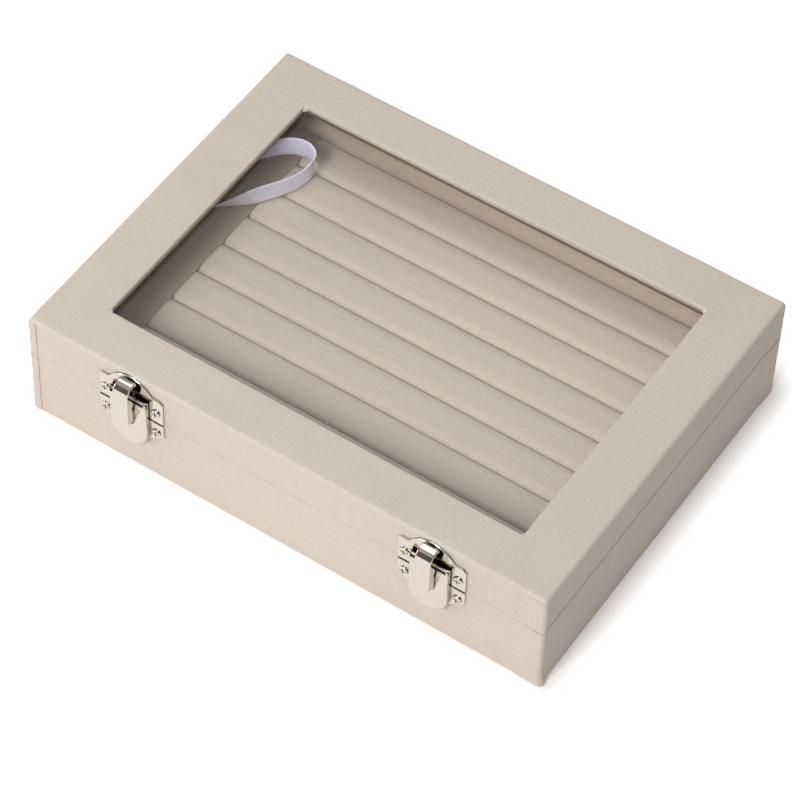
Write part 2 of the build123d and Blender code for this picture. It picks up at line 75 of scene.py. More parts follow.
def srgb(text, alpha=1.0):
    """The linear colour of an sRGB hex value."""
    values = [int(text[i : i + 2], 16) / 255 for i in (0, 2, 4)]
    return (*[v / 12.92 if v <= 0.04045 else ((v + 0.055) / 1.055) ** 2.4 for v in values], alpha)


def add_node(tree, kind, inputs=None, **settings):
    """Adds a node to the tree; inputs maps a socket's name or number to a value or another node's output."""
    node = tree.nodes.new(kind)
    for name, value in settings.items():
        setattr(node, name, value)
    for key, value in (inputs or {}).items():
        socket = node.inputs[key]
        if isinstance(value, bpy.types.NodeSocket):
            tree.links.new(value, socket)
        else:
            socket.default_value = value
    return node


def new_material(name):
    """An empty material and its output node."""
    material = bpy.data.materials.new(name)
    material.use_nodes = True
    material.node_tree.nodes.clear()
    output = material.node_tree.nodes.new("ShaderNodeOutputMaterial")
    return material, material.node_tree, output


def scaled_place(tree, x_mm, y_mm, z_mm):
    """Object coordinates, stretched so that one unit is this many millimetres along each axis."""
    place = add_node(tree, "ShaderNodeTexCoord")
    scale = (1 / (x_mm * MM), 1 / (y_mm * MM), 1 / (z_mm * MM))
    inputs = {"Vector": place.outputs["Object"], "Scale": scale}
    return add_node(tree, "ShaderNodeMapping", inputs).outputs[0]


def shade_steps(tree, factor, *steps):
    """A colour ramp over the factor, from (position, colour) steps."""
    ramp = add_node(tree, "ShaderNodeValToRGB", {"Fac": factor})
    while len(ramp.color_ramp.elements) < len(steps):
        ramp.color_ramp.elements.new(0.5)
    for element, (position, colour) in zip(ramp.color_ramp.elements, steps):
        element.position = position
        element.color = colour
    return ramp.outputs["Color"]


def tinted(tree, first, second):
    """One colour multiplied by another."""
    # These are the mix node's colour sockets; its first sockets and output are for plain values
    inputs = {0: 1.0, 6: first, 7: second}
    return add_node(tree, "ShaderNodeMix", inputs, data_type="RGBA", blend_type="MULTIPLY").outputs[2]


def maths(tree, operation, *values):
    """The result of one operation on these values."""
    return add_node(tree, "ShaderNodeMath", dict(enumerate(values)), operation=operation).outputs[0]


def chosen(tree, share, first, second):
    """The first shader where the share is 0, the second where it is 1."""
    return add_node(tree, "ShaderNodeMixShader", {0: share, 1: first, 2: second}).outputs[0]


def surfaced(tree, output, inputs):
    """Gives the material its one shader, with these inputs."""
    shader = add_node(tree, "ShaderNodeBsdfPrincipled", inputs)
    tree.links.new(shader.outputs[0], output.inputs["Surface"])


# Materials

WHITE = (1.0, 1.0, 1.0, 1.0)


def toned(colour, share):
    """The colour, darker or paler by this share of itself."""
    return tuple(min(1.0, share * c) for c in colour[:3]) + (1.0,)


def fine_noise(tree, x_mm, y_mm, z_mm, detail):
    """Noise whose marks are about this long along each axis."""
    inputs = {"Vector": scaled_place(tree, x_mm, y_mm, z_mm), "Scale": 1.0, "Detail": detail}
    return add_node(tree, "ShaderNodeTexNoise", inputs).outputs["Fac"]


def grain_shade(tree, marks):
    """The shade of a cloth's finest marks: a tenth darker in the hollows."""
    return shade_steps(tree, marks, (0.32, (0.90, 0.90, 0.90, 1.0)), (0.70, WHITE))


def linen_cloth(colour):
    """Woven linen-look book cloth: matt, with faint slubs running along the box and a fine even grain."""
    material, tree, output = new_material("woven linen book cloth")
    # Slubs are thick threads a few millimetres long and about half a millimetre wide
    slubs = fine_noise(tree, 4.0, 0.6, 0.6, 3.0)
    # The threads lie 0.3 mm apart, drawn at 0.8 mm so that they show
    weave = fine_noise(tree, 0.9, 0.7, 0.7, 3.0)
    # Neighbouring threads took the dye a little warmer or cooler
    dyed = fine_noise(tree, 1.6, 1.3, 1.3, 3.0)
    # Slow changes of shade where the cloth took the glue
    patches = fine_noise(tree, 30.0, 22.0, 22.0, 2.0)
    thin, thick = toned(colour, 0.965), toned(colour, 1.02)
    cloth = shade_steps(tree, slubs, (0.30, thin), (0.52, colour), (0.72, thick))
    shade = shade_steps(tree, patches, (0.30, (0.975, 0.965, 0.98, 1.0)), (0.70, WHITE))
    mottle = shade_steps(tree, dyed, (0.32, (0.985, 0.975, 0.99, 1.0)), (0.68, (1.0, 1.0, 0.97, 1.0)))
    for tint in (grain_shade(tree, weave), shade, mottle):
        cloth = tinted(tree, cloth, tint)
    height = maths(tree, "ADD", slubs, weave)
    bump = add_node(tree, "ShaderNodeBump", {"Strength": 0.22, "Distance": 0.1 * MM, "Height": height})
    inputs = {
        "Base Color": cloth,
        "Roughness": 0.92,
        "Specular IOR Level": 0.2,
        "Sheen Weight": 0.1,
        "Sheen Roughness": 0.5,
        "Normal": bump.outputs[0],
    }
    surfaced(tree, output, inputs)
    return material


def velvet(name, colour, nap):
    """Short-pile velvet: no gloss, a soft sheen at grazing angles and a pile brushed into faint streaks."""
    material, tree, output = new_material(name)
    brushed = fine_noise(tree, 4.0 * nap, 0.8, 0.8, 4.0)
    # The pile's tufts are about a third of a millimetre across, drawn at 0.8 mm
    tufts = fine_noise(tree, 0.9, 0.7, 0.7, 3.0)
    against, along = toned(colour, 0.94), toned(colour, 1.03)
    streaked = shade_steps(tree, brushed, (0.28, against), (0.50, colour), (0.74, along))
    bump = add_node(tree, "ShaderNodeBump", {"Strength": 0.25, "Distance": 0.12 * MM, "Height": tufts})
    inputs = {
        "Base Color": tinted(tree, streaked, grain_shade(tree, tufts)),
        "Roughness": 1.0,
        "Specular IOR Level": 0.1,
        "Sheen Weight": 0.15,
        "Sheen Roughness": 0.4,
        "Normal": bump.outputs[0],
    }
    surfaced(tree, output, inputs)
    return material


def satin_ribbon_cloth(colour):
    """Woven polyester satin: smooth floats across the band give it a soft streaky gloss."""
    material, tree, output = new_material("woven satin ribbon")
    place = add_node(tree, "ShaderNodeUVMap", uv_map="band").outputs[0]
    # One unit along or across the band is 8 mm; the floats are a quarter of a millimetre apart
    along = add_node(tree, "ShaderNodeMapping", {"Vector": place, "Scale": (30.0, 4.0, 1.0)}).outputs[0]
    marks = add_node(tree, "ShaderNodeTexNoise", {"Vector": along, "Scale": 1.0, "Detail": 4.0})
    floats = marks.outputs["Fac"]
    bump = add_node(tree, "ShaderNodeBump", {"Strength": 0.5, "Distance": 0.12 * MM, "Height": floats})
    inputs = {
        "Base Color": shade_steps(tree, floats, (0.34, toned(colour, 0.76)), (0.58, colour)),
        "Roughness": 0.34,
        "Specular IOR Level": 0.8,
        "Sheen Weight": 0.4,
        "Normal": bump.outputs[0],
    }
    surfaced(tree, output, inputs)
    return material


def float_glass():
    """Clear 2 mm float glass, which lamps shine through."""
    material, tree, output = new_material("clear float glass")
    clear = srgb("FDFDFD")
    inputs = {"Base Color": clear, "Roughness": 0.0, "Transmission Weight": 1.0, "IOR": 1.45}
    glass = add_node(tree, "ShaderNodeBsdfPrincipled", inputs).outputs[0]
    open_way = add_node(tree, "ShaderNodeBsdfTransparent", {"Color": clear}).outputs[0]
    path = add_node(tree, "ShaderNodeLightPath").outputs
    indirect = maths(tree, "MAXIMUM", path["Is Shadow Ray"], path["Is Diffuse Ray"])
    tree.links.new(chosen(tree, indirect, glass, open_way), output.inputs["Surface"])
    return material


def plated_metal(name, colour, roughness, scratch_mm, crevice_mm):
    """Pressed steel with a bright plating: a mirror with faint marks, haze and painted shade in its crevices.
    """
    material, tree, output = new_material(name)
    haze = fine_noise(tree, 2.5, 2.5, 2.5, 3.0)
    marks = fine_noise(tree, scratch_mm, scratch_mm, 9 * scratch_mm, 2.0)
    spread = {"From Min": 0.3, "From Max": 0.7, "To Min": roughness, "To Max": 1.8 * roughness}
    rough = add_node(tree, "ShaderNodeMapRange", {"Value": haze, **spread})
    bump = add_node(tree, "ShaderNodeBump", {"Strength": 0.06, "Distance": 0.03 * MM, "Height": marks})
    tint = shade_steps(tree, haze, (0.3, toned(colour, 0.95)), (0.7, colour))
    # Painted shade: the plating's colour darkens where faces meet and nearby parts shut out the light
    nearby = add_node(tree, "ShaderNodeAmbientOcclusion", {"Distance": crevice_mm * MM}, samples=8)
    painted_shade = (0.15, srgb("6A6259")), (0.45, srgb("C4BCB4")), (0.80, WHITE)
    inputs = {
        "Base Color": tinted(tree, tint, shade_steps(tree, nearby.outputs["AO"], *painted_shade)),
        "Metallic": 1.0,
        "Roughness": rough.outputs[0],
        "Normal": bump.outputs[0],
    }
    surfaced(tree, output, inputs)
    return material


def board(name, colour, fibre_mm, depth):
    """Uncoated board: matt, with short fibres pressed flat in every direction."""
    material, tree, output = new_material(name)
    fibres = fine_noise(tree, fibre_mm, fibre_mm, fibre_mm, 4.0)
    shade = shade_steps(tree, fibres, (0.3, toned(colour, 1 - depth)), (0.65, colour))
    bump = add_node(tree, "ShaderNodeBump", {"Strength": 0.2, "Distance": 0.08 * MM, "Height": fibres})
    inputs = {"Base Color": shade, "Roughness": 0.9, "Specular IOR Level": 0.3, "Normal": bump.outputs[0]}
    surfaced(tree, output, inputs)
    return material


# Shapes

# At the rims the cloth is turned in this far, is this thick and has this edge radius
RIM_TURN_IN, RIM_CLOTH, RIM_EDGE = 6.3 * MM, 0.4 * MM, 0.35 * MM


def new_piece(name, points, faces, material, smooth=True):
    """A mesh object at the origin, with its place in its mesh."""
    mesh = bpy.data.meshes.new(name)
    mesh.from_pydata([tuple(point) for point in points], [], faces)
    mesh.validate()
    piece = bpy.data.objects.new(name, mesh)
    bpy.context.scene.collection.objects.link(piece)
    mesh.materials.append(material)
    form = bmesh.new()
    form.from_mesh(mesh)
    bmesh.ops.recalc_face_normals(form, faces=form.faces)
    form.to_mesh(mesh)
    form.free()
    for polygon in mesh.polygons:
        polygon.use_smooth = smooth
    return piece


def crowded_steps(count):
    """count shares from 0 to just before 1, crowded towards the ends by a cosine."""
    shares = [i / count for i in range(count)]
    return [0.5 * share + 0.5 * (1 - math.cos(math.pi * share)) / 2 for share in shares]


def smooth_share(value, low, high):
    """0 below low and 1 above high, with a smooth rise between them."""
    share = min(max((value - low) / (high - low), 0.0), 1.0)
    return share * share * (3 - 2 * share)


def wall_ring(half_x, half_y, radius):
    """Points round a rectangle with round corners, anticlockwise from the front right corner."""
    along_x, along_y, corner = 72, 54, 6
    x, y = half_x - radius, half_y - radius
    points = []
    sides = (
        ((half_x, -y), (half_x, y), along_y, -90),
        ((x, half_y), (-x, half_y), along_x, 0),
        ((-half_x, y), (-half_x, -y), along_y, 90),
        ((-x, -half_y), (x, -half_y), along_x, 180),
    )
    centres = ((x, -y), (x, y), (-x, y), (-x, -y))
    for (start, end, count, angle), centre in zip(sides, centres):
        for i in range(corner):
            turn = math.radians(angle + 90 * i / corner)
            points.append((centre[0] + radius * math.cos(turn), centre[1] + radius * math.sin(turn)))
        for t in crowded_steps(count):
            points.append((start[0] + (end[0] - start[0]) * t, start[1] + (end[1] - start[1]) * t))
    return points


def skin(rows, count, start=0, closed=False):
    """Faces between rows of count points; the last row is joined to the first, or both ends are capped."""
    faces = []
    for row in range(rows if closed else rows - 1):
        a, b = start + row * count, start + (row + 1) % rows * count
        for i in range(count):
            j = (i + 1) % count
            faces.append((a + i, a + j, b + j, b + i))
    if not closed:
        faces.append(tuple(start + i for i in range(count)))
        faces.append(tuple(start + (rows - 1) * count + i for i in range(count)))
    return faces


def lofted(name, levels, material):
    """A closed skin over rings of points; levels are (half_x, half_y, corner radius, z)."""
    points = []
    for half_x, half_y, radius, z in levels:
        points.extend((x, y, z) for x, y in wall_ring(half_x, half_y, radius))
    faces = skin(len(levels), len(points) // len(levels), closed=True)
    return new_piece(name, points, faces, material)


def wall_levels(half_x, half_y, rows):
    """Levels of the outer cloth, from rows of (how far in from the outer face, z)."""
    corner, least = sizes().corner_radius, 0.4 * MM
    return [(half_x - inset, half_y - inset, max(corner - inset, least), z) for inset, z in rows]


def soften(piece, depth, length, seed, low_z, high_z=1.0):
    """Moves a piece's surface in and out by up to depth, over waves of about length, as glued cloth lies."""
    mesh = piece.data
    normals = [vertex.normal.copy() for vertex in mesh.vertices]
    for vertex, normal in zip(mesh.vertices, normals):
        if low_z < vertex.co.z < high_z:
            wave = noise.noise(vertex.co / length + Vector((seed, seed, seed)))
            vertex.co += normal * depth * wave
    mesh.update()


def arc_levels(centre_inset, centre_z, radius, start, end, steps):
    """(inset, z) points of an arc in the wall's cross-section; angles in degrees, 0 outwards, 90 up."""
    points = []
    for i in range(steps + 1):
        turn = math.radians(start + (end - start) * i / steps)
        points.append((centre_inset - radius * math.cos(turn), centre_z + radius * math.sin(turn)))
    return points


def finish_piece(piece, slot, body, *nodes):
    """Hides the CAD nodes that the piece stands for and hangs the piece on the body that it moves with."""
    if nodes:
        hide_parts(*nodes)
    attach(piece, body)


# Sizes and colours that a user would change


def size_property(name, description, size_mm):
    return bpy.props.FloatProperty(name=name, description=description, default=size_mm * MM, unit="LENGTH")


def colour_property(name, description, text):
    return bpy.props.FloatVectorProperty(
        name=name, description=description, subtype="COLOR", size=4, default=srgb(text)
    )


class EarringBoxSizes(bpy.types.PropertyGroup):
    cloth_wave: size_property("Cloth unevenness", "How far the glued cloth lies in or out", 0.12)
    cloth_thickness: size_property("Cloth thickness", "Thickness of the outer cloth", 0.5)
    corner_radius: size_property("Corner", "Radius of the upright corners over the cloth", 1.0)
    edge_radius: size_property("Top edge", "Radius of the lid's top edge under the cloth", 1.3)
    lining_thickness: size_property("Lining thickness", "Thickness of the velvet lining", 0.7)
    roll_count: bpy.props.IntProperty(name="Rolls", description="How many rolls lie side by side", default=9)
    roll_crown: size_property("Roll crown", "Height of a roll's rounded top", 4.6)
    roll_end: size_property("Roll end", "Radius of a roll's rounded ends", 1.1)
    ribbon_width: size_property("Ribbon width", "Width of the lid's ribbon stay", 8.0)
    ribbon_thickness: size_property("Ribbon thickness", "Thickness of the ribbon", 0.35)


class EarringBoxColours(bpy.types.PropertyGroup):
    linen: colour_property("Linen", "Outer cloth", "CEC3B6")
    roll_velvet: colour_property("Roll velvet", "Velvet of the rolls", "CFC1B1")
    lining_velvet: colour_property("Lining velvet", "Velvet of the linings", "C6B3A2")
    # The ledges take the lining's velvet made darker: painted shade for the shadow that the lid's border
    # casts over them
    ledge_velvet_painted_shade: colour_property("Ledge velvet", "Velvet of the ledges, darkened as painted shade", "AA9783")
    satin: colour_property("Satin", "Ribbon", "EBEAFF")
    nickel: colour_property("Nickel", "Plating of the latches and hinges", "D6CEC3")


def sizes():
    return bpy.context.scene.earring_box_sizes


def colours():
    return bpy.context.scene.earring_box_colours


materials = {}


def finish(name):
    """The material of that name, made the first time it is asked for."""
    if name not in materials:
        tones = colours()
        recipes = {
            "linen": lambda: linen_cloth(tuple(tones.linen)),
            "roll velvet": lambda: velvet("short-pile velvet on the rolls", tuple(tones.roll_velvet), 2.0),
            "lining velvet": lambda: velvet("short-pile velvet lining", tuple(tones.lining_velvet), 1.0),
            # The ledges' velvet is darker than the lining's as painted shade
            "ledge velvet with painted shade": lambda: velvet("short-pile velvet on the ledges, darkened as painted shade", tuple(tones.ledge_velvet_painted_shade), 1.0),
            "satin": lambda: satin_ribbon_cloth(tuple(tones.satin)),
            "glass": float_glass,
            "nickel": lambda: plated_metal("bright nickel plate", tuple(tones.nickel), 0.07, 0.25, 2.0),
            "screw nickel": lambda: plated_metal("nickel-plated screw", tuple(tones.nickel), 0.12, 0.2, 0.7),
            "steel": lambda: plated_metal("bright drawn steel", srgb("C4C0BB"), 0.18, 0.15, 0.7),
            "spring steel": lambda: plated_metal("blued spring steel", srgb("8F8F92"), 0.25, 0.15, 0.7),
            "white board": lambda: board("white-faced card", srgb("E9DFDA"), 0.4, 0.06),
            "dark card": lambda: board("dark grey card", srgb("75675A"), 0.5, 0.15),
            "fibreboard": lambda: board("medium-density fibreboard", srgb("A58C6B"), 0.5, 0.2),
        }
        materials[name] = recipes[name]()
    return materials[name]


# Stage


class EARRINGBOX_OT_stage(bpy.types.Operator):
    """Makes the floor, the lamps, the world and the camera"""

    bl_idname = "earring_box.stage"
    bl_label = "Stage"
    # The floor reaches its full whiteness this far from the box, in metres
    floor_glow_reach = 0.3

    def execute(self, context):
        scene = context.scene
        scene.view_settings.view_transform = "Standard"
        self.make_camera(scene)
        self.make_world(scene)
        self.make_floor()
        # A softbox close above the left half of the box, a stronger one in front that lights the rolls up to
        # the back wall, and a low broad one from the front left
        self.make_lamp(scene, "overhead_softbox", (-0.12, 0.05, 0.62), (0.36, 0.36), 0.88)
        self.make_lamp(scene, "front_softbox", (0.04, -1.18, 1.22), (0.5, 0.5), 16.5)
        self.make_lamp(scene, "front_left_softbox", (-1.05, -0.84, 0.36), (0.9, 0.5), 5.0)
        return {"FINISHED"}

    def make_camera(self, scene):
        azimuth, elevation, roll = math.radians(31.77), math.radians(51.16), math.radians(2.42)
        aim = Vector((-0.8, -2.0, 0.0)) * MM
        distance = 1.2225
        # The lens and the picture's width, both in pixels
        focal_length, picture_width = 3628.0, 800.0
        level = Vector((math.cos(azimuth), math.sin(azimuth), 0))
        flat = math.cos(elevation)
        back = Vector((math.sin(azimuth) * flat, -math.cos(azimuth) * flat, math.sin(elevation)))
        upright = back.cross(level)
        right = math.cos(roll) * level + math.sin(roll) * upright
        up = -math.sin(roll) * level + math.cos(roll) * upright
        data = bpy.data.cameras.new("camera")
        data.sensor_width = 36.0
        data.lens = focal_length / picture_width * data.sensor_width
        data.clip_start = 0.05
        data.clip_end = 20.0
        camera = bpy.data.objects.new("camera", data)
        scene.collection.objects.link(camera)
        turn = Matrix((right, up, back)).transposed().to_4x4()
        camera.matrix_world = Matrix.Translation(aim + back * distance) @ turn
        scene.camera = camera

    def make_world(self, scene):
        world = bpy.data.worlds.new("studio")
        world.use_nodes = True
        tree = world.node_tree
        tree.nodes.clear()
        path = add_node(tree, "ShaderNodeLightPath").outputs
        seen = maths(tree, "MAXIMUM", path["Is Camera Ray"], path["Is Transmission Ray"])
        even = add_node(tree, "ShaderNodeBackground", {"Color": WHITE, "Strength": 0.37}).outputs[0]
        # What the plating mirrors: a dark room behind the lamps, with a pale ceiling
        aim = add_node(tree, "ShaderNodeTexCoord").outputs["Generated"]
        height = add_node(tree, "ShaderNodeSeparateXYZ", {0: aim}).outputs["Z"]
        rise = {"Value": height, "From Min": 0.55, "From Max": 0.8, "To Min": 0.12, "To Max": 0.5}
        ceiling = add_node(tree, "ShaderNodeMapRange", rise, interpolation_type="SMOOTHSTEP").outputs[0]
        room = add_node(tree, "ShaderNodeBackground", {"Color": srgb("FFFDFA"), "Strength": ceiling})
        unseen = chosen(tree, path["Is Glossy Ray"], even, room.outputs[0])
        white = add_node(tree, "ShaderNodeBackground", {"Color": srgb("FFFFFE"), "Strength": 1.0})
        sky = chosen(tree, seen, unseen, white.outputs[0])
        output = add_node(tree, "ShaderNodeOutputWorld", {"Surface": sky})
        output.is_active_output = True
        scene.world = world

    def make_floor(self):
        material, tree, output = new_material("matt white paper floor")
        fibres = fine_noise(tree, 2.0, 2.0, 2.0, 2.0)
        tone = shade_steps(tree, fibres, (0.3, srgb("F5F2F2")), (0.7, srgb("F8F5F5")))
        inputs = {"Base Color": tone, "Roughness": 0.95, "Specular IOR Level": 0.0}
        paper = add_node(tree, "ShaderNodeBsdfPrincipled", inputs)
        # The paper is seen white, but less so close to the box, where its shadow lies
        place = add_node(tree, "ShaderNodeTexCoord").outputs["Object"]
        distance = self.distance_from_box(tree, place)
        shadow_width = 12 * MM
        glows = ((0.0, 0.05), (shadow_width / self.floor_glow_reach, 0.53), (1.0, 0.78))
        amount = shade_steps(tree, distance, *[(share, (glow, glow, glow, 1.0)) for share, glow in glows])
        path = add_node(tree, "ShaderNodeLightPath").outputs
        seen = maths(tree, "MAXIMUM", path["Is Camera Ray"], path["Is Transmission Ray"])
        mirrored_white = 0.15
        mirrored = maths(tree, "MULTIPLY", path["Is Glossy Ray"], mirrored_white)
        lift = maths(tree, "MULTIPLY_ADD", seen, amount, mirrored)
        glow = add_node(tree, "ShaderNodeEmission", {"Color": srgb("FFFFFE"), "Strength": lift})
        both = add_node(tree, "ShaderNodeAddShader", {0: paper.outputs[0], 1: glow.outputs[0]})
        tree.links.new(both.outputs[0], output.inputs["Surface"])
        reach = 6.0
        corners = [(-reach, -reach, 0), (reach, -reach, 0), (reach, reach, 0), (-reach, reach, 0)]
        floor = new_piece("floor", corners, [(0, 1, 2, 3)], material, smooth=False)

    def distance_from_box(self, tree, place):
        """How far a place on the floor lies outside the case, as a share of the glow's reach."""
        away = add_node(tree, "ShaderNodeVectorMath", {0: place}, operation="ABSOLUTE").outputs[0]
        corner = (case_high.x, case_high.y, 0.0)
        past = add_node(tree, "ShaderNodeVectorMath", {0: away, 1: corner}, operation="SUBTRACT").outputs[0]
        outside = add_node(tree, "ShaderNodeVectorMath", {0: past}, operation="MAXIMUM").outputs[0]
        far = add_node(tree, "ShaderNodeVectorMath", {0: outside}, operation="LENGTH").outputs["Value"]
        inputs = {0: far, 1: self.floor_glow_reach}
        return add_node(tree, "ShaderNodeMath", inputs, operation="DIVIDE", use_clamp=True).outputs[0]

    def make_lamp(self, scene, name, place, size, power):
        data = bpy.data.lights.new(name, "AREA")
        data.shape = "RECTANGLE"
        data.size, data.size_y = size
        data.energy = power
        lamp = bpy.data.objects.new(name, data)
        scene.collection.objects.link(lamp)
        lamp.location = place
        lamp.rotation_euler = (-Vector(place)).to_track_quat("-Z", "Y").to_euler()


# Pieces


class EARRINGBOX_OT_lid_cloth(bpy.types.Operator):
    """Makes the cloth over the lid, turned down into the window and under the rim"""

    bl_idname = "earring_box.lid_cloth"
    bl_label = "Lid cloth"

    def execute(self, context):
        size = sizes()
        half_x, half_y, top = case_high.x, case_high.y, case_high.z
        rim = case_low.z
        edge, thick = size.edge_radius, size.cloth_thickness
        # The borders round the window, and the radius over which the cloth turns down into it
        border_x, border_y, soft = 20.0 * MM, 18.0 * MM, 0.5 * MM
        window_x, window_y = half_x - border_x, half_y - border_y
        border_corner, window_corner, hidden_corner = 0.4 * MM, 0.25 * MM, 0.3 * MM
        rows = [(RIM_TURN_IN, rim + RIM_CLOTH), (RIM_TURN_IN, rim)]
        rows += arc_levels(RIM_EDGE, rim + RIM_EDGE, RIM_EDGE, -90, 0, 3)
        rows += [(0.0, rim + (top - edge - rim) * t) for t in (0.15, 0.3, 0.45, 0.6, 0.75, 0.9)]
        rows += arc_levels(edge, top - edge, edge, 0, 90, 7)
        levels = wall_levels(half_x, half_y, rows)
        for t in (0.12, 0.25, 0.4, 0.55, 0.7, 0.82, 0.92):
            x = half_x - edge - (border_x - soft - edge) * t
            y = half_y - edge - (border_y - soft - edge) * t
            levels.append((x, y, border_corner, top))
        for step in range(6):
            turn = math.radians(90 * step / 5)
            back, drop = soft * (1 - math.sin(turn)), soft * (1 - math.cos(turn))
            levels.append((window_x + back, window_y + back, window_corner, top - drop))
        for z in (glass_top + 1.0 * MM, glass_top):
            levels.append((window_x, window_y, window_corner, z))
        # Back up behind the cloth, over the board that it is glued to and down outside the board
        board_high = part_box("lid_top_board")[1]
        for z in (glass_top, top - thick):
            levels.append((window_x + thick, window_y + thick, hidden_corner, z))
        for z in (top - thick, rim + RIM_CLOTH):
            levels.append((board_high.x, board_high.y, hidden_corner, z))
        cloth = lofted("lid_cloth", levels, finish("linen"))
        soften(cloth, size.cloth_wave, 14 * MM, seed=3.1, low_z=rim + 0.6 * MM)
        # The lid closes tightest at the latches; at its right end the seam stands a little wider open
        seam_opening = 0.3 * MM
        for vertex in cloth.data.vertices:
            if vertex.co.z < rim + RIM_CLOTH:
                vertex.co.z += seam_opening * smooth_share(vertex.co.x, half_x - RIM_TURN_IN, half_x)
        finish_piece(cloth, "linen_cloth", "lid", "lid_cloth_wrap")
        return {"FINISHED"}


class EARRINGBOX_OT_base_cloth(bpy.types.Operator):
    """Makes the cloth round the base, turned in over its rim"""

    bl_idname = "earring_box.base_cloth"
    bl_label = "Base cloth"

    def execute(self, context):
        size = sizes()
        half_x, half_y, rim = base_high.x, base_high.y, base_high.z
        thick, foot = size.cloth_thickness, 0.3 * MM
        rows = [(thick, 0.0), (foot, 0.0)]
        rows += arc_levels(foot, foot, foot, -90, 0, 3)[1:]
        rows += [(0.0, rim * t) for t in (0.1, 0.25, 0.4, 0.55, 0.7, 0.85, 0.95)]
        rows += arc_levels(RIM_EDGE, rim - RIM_EDGE, RIM_EDGE, 0, 90, 4)
        rows += [(RIM_TURN_IN * t, rim) for t in (0.3, 0.6, 1.0)]
        rows += [(RIM_TURN_IN, rim - RIM_CLOTH), (thick, rim - RIM_CLOTH)]
        cloth = lofted("base_cloth", wall_levels(half_x, half_y, rows), finish("linen"))
        soften(cloth, size.cloth_wave, 16 * MM, seed=7.7, low_z=0.6 * MM, high_z=rim - 0.6 * MM)
        finish_piece(cloth, "linen_cloth", "base", "base_cloth_wrap")
        return {"FINISHED"}


class EARRINGBOX_OT_corner_laps(bpy.types.Operator):
    """Makes the ends of the cloth that lap round the four upright corners"""

    bl_idname = "earring_box.corner_laps"
    bl_label = "Corner laps"

    def execute(self, context):
        # (sign of x, sign of y, which wall the strip lies on, how far it reaches round the corner)
        laps = (
            (-1, -1, "end", 2.4 * MM),
            (1, -1, "front", 0.5 * MM),
            (1, 1, "end", 2.0 * MM),
            (-1, 1, "end", 2.6 * MM),
        )
        rim = base_high.z
        self.make_laps("base_corner_laps", "base", laps, 0.25 * MM, rim - 0.5 * MM, 0.8 * MM)
        self.make_laps("lid_corner_laps", "lid", laps, case_low.z + 0.5 * MM, case_high.z - 1.6 * MM, 0.0)
        return {"FINISHED"}

    def make_laps(self, name, body, laps, low, high, opening):
        points, faces = [], []
        for lap in laps:
            self.add_lap(points, faces, lap, low, high, opening)
        piece = new_piece(name, points, faces, finish("linen"), smooth=False)
        finish_piece(piece, "linen_cloth", body)

    def add_lap(self, points, faces, lap, low, high, opening):
        """One lap: a thin strip that lies on one wall, where it thins away, and ends round the corner.

        A strip on the front wall stands open by the given amount at its foot, where the glue has let go.
        """
        sign_x, sign_y, wall, reach = lap
        on_front = wall == "front"
        radius, thickness, tail = sizes().corner_radius, 0.28 * MM, 9.0 * MM
        thinnest, root = 0.03 * MM, -0.1 * MM
        first, second = (case_high.y, case_high.x) if on_front else (case_high.x, case_high.y)
        # Each entry is (place, outward direction, share of full thickness, share of the flap)
        path = []
        for step in range(6):
            along = tail * (1 - step / 5)
            path.append((first, second - radius - along, 1.0, 0.0, 1 - (1 - step / 5) ** 2, 0.0))
        for step in range(1, 6):
            turn = math.radians(90 * step / 5)
            out_a, out_b = math.cos(turn), math.sin(turn)
            place = (first - radius + radius * out_a, second - radius + radius * out_b)
            path.append((*place, out_a, out_b, 1.0, (step / 5) ** 2))
        for step in range(1, 3):
            path.append((first - radius - (reach - radius * 0.3) * step / 2, second, 0.0, 1.0, 1.0, 1.0))
        ring = [(*entry[:4], thinnest + thickness * entry[4], entry[5]) for entry in path]
        ring += [(*entry[:4], root, entry[5]) for entry in reversed(path)]
        rows, flap_height = 16, 5.0 * MM
        faces.extend(skin(rows + 1, len(ring), len(points)))
        for row in range(rows + 1):
            z = low + (high - low) * row / rows
            loose = opening * max(0.0, 1 - (z - low) / flap_height) if on_front else 0.0
            for a, b, out_a, out_b, lift, flap in ring:
                if lift > 0:
                    lift += 0.05 * MM * noise.noise(Vector((sign_x * 3 + a * 90, sign_y * 5, z * 260)))
                lift += loose * flap
                a, b = a + out_a * lift, b + out_b * lift
                x, y = (b, a) if on_front else (a, b)
                points.append((sign_x * x, sign_y * y, z))


class EARRINGBOX_OT_linings(bpy.types.Operator):
    """Makes the velvet linings of the base and the lid, rounded over at the rim"""

    bl_idname = "earring_box.linings"
    bl_label = "Linings"

    def execute(self, context):
        size = sizes()
        for name, node, body, up in (
            ("base_lining", "base_wall_lining", "base", 1),
            ("lid_lining", "lid_wall_lining", "lid", -1),
        ):
            low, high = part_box(node)
            thick, edge = size.lining_thickness, 0.3 * MM
            rim, root = (high.z, low.z) if up > 0 else (low.z, high.z)
            rows = [(0.0, root), (thick, root)]
            rows += [(thick, root + (rim - up * edge - root) * t) for t in (0.25, 0.5, 0.75)]
            for step in range(5):
                turn = math.radians(90 * step / 4)
                rows.append((thick - edge * (1 - math.cos(turn)), rim - up * edge * (1 - math.sin(turn))))
            rows.append((0.0, rim))
            levels = [(high.x - i, high.y - i, 0.5 * MM, z) for i, z in rows]
            lining = lofted(name, levels, finish("lining velvet"))
            soften(lining, 0.06 * MM, 12 * MM, seed=1.9, low_z=low.z + MM, high_z=high.z - MM)
            finish_piece(lining, "lining_velvet", body, node)
        return {"FINISHED"}


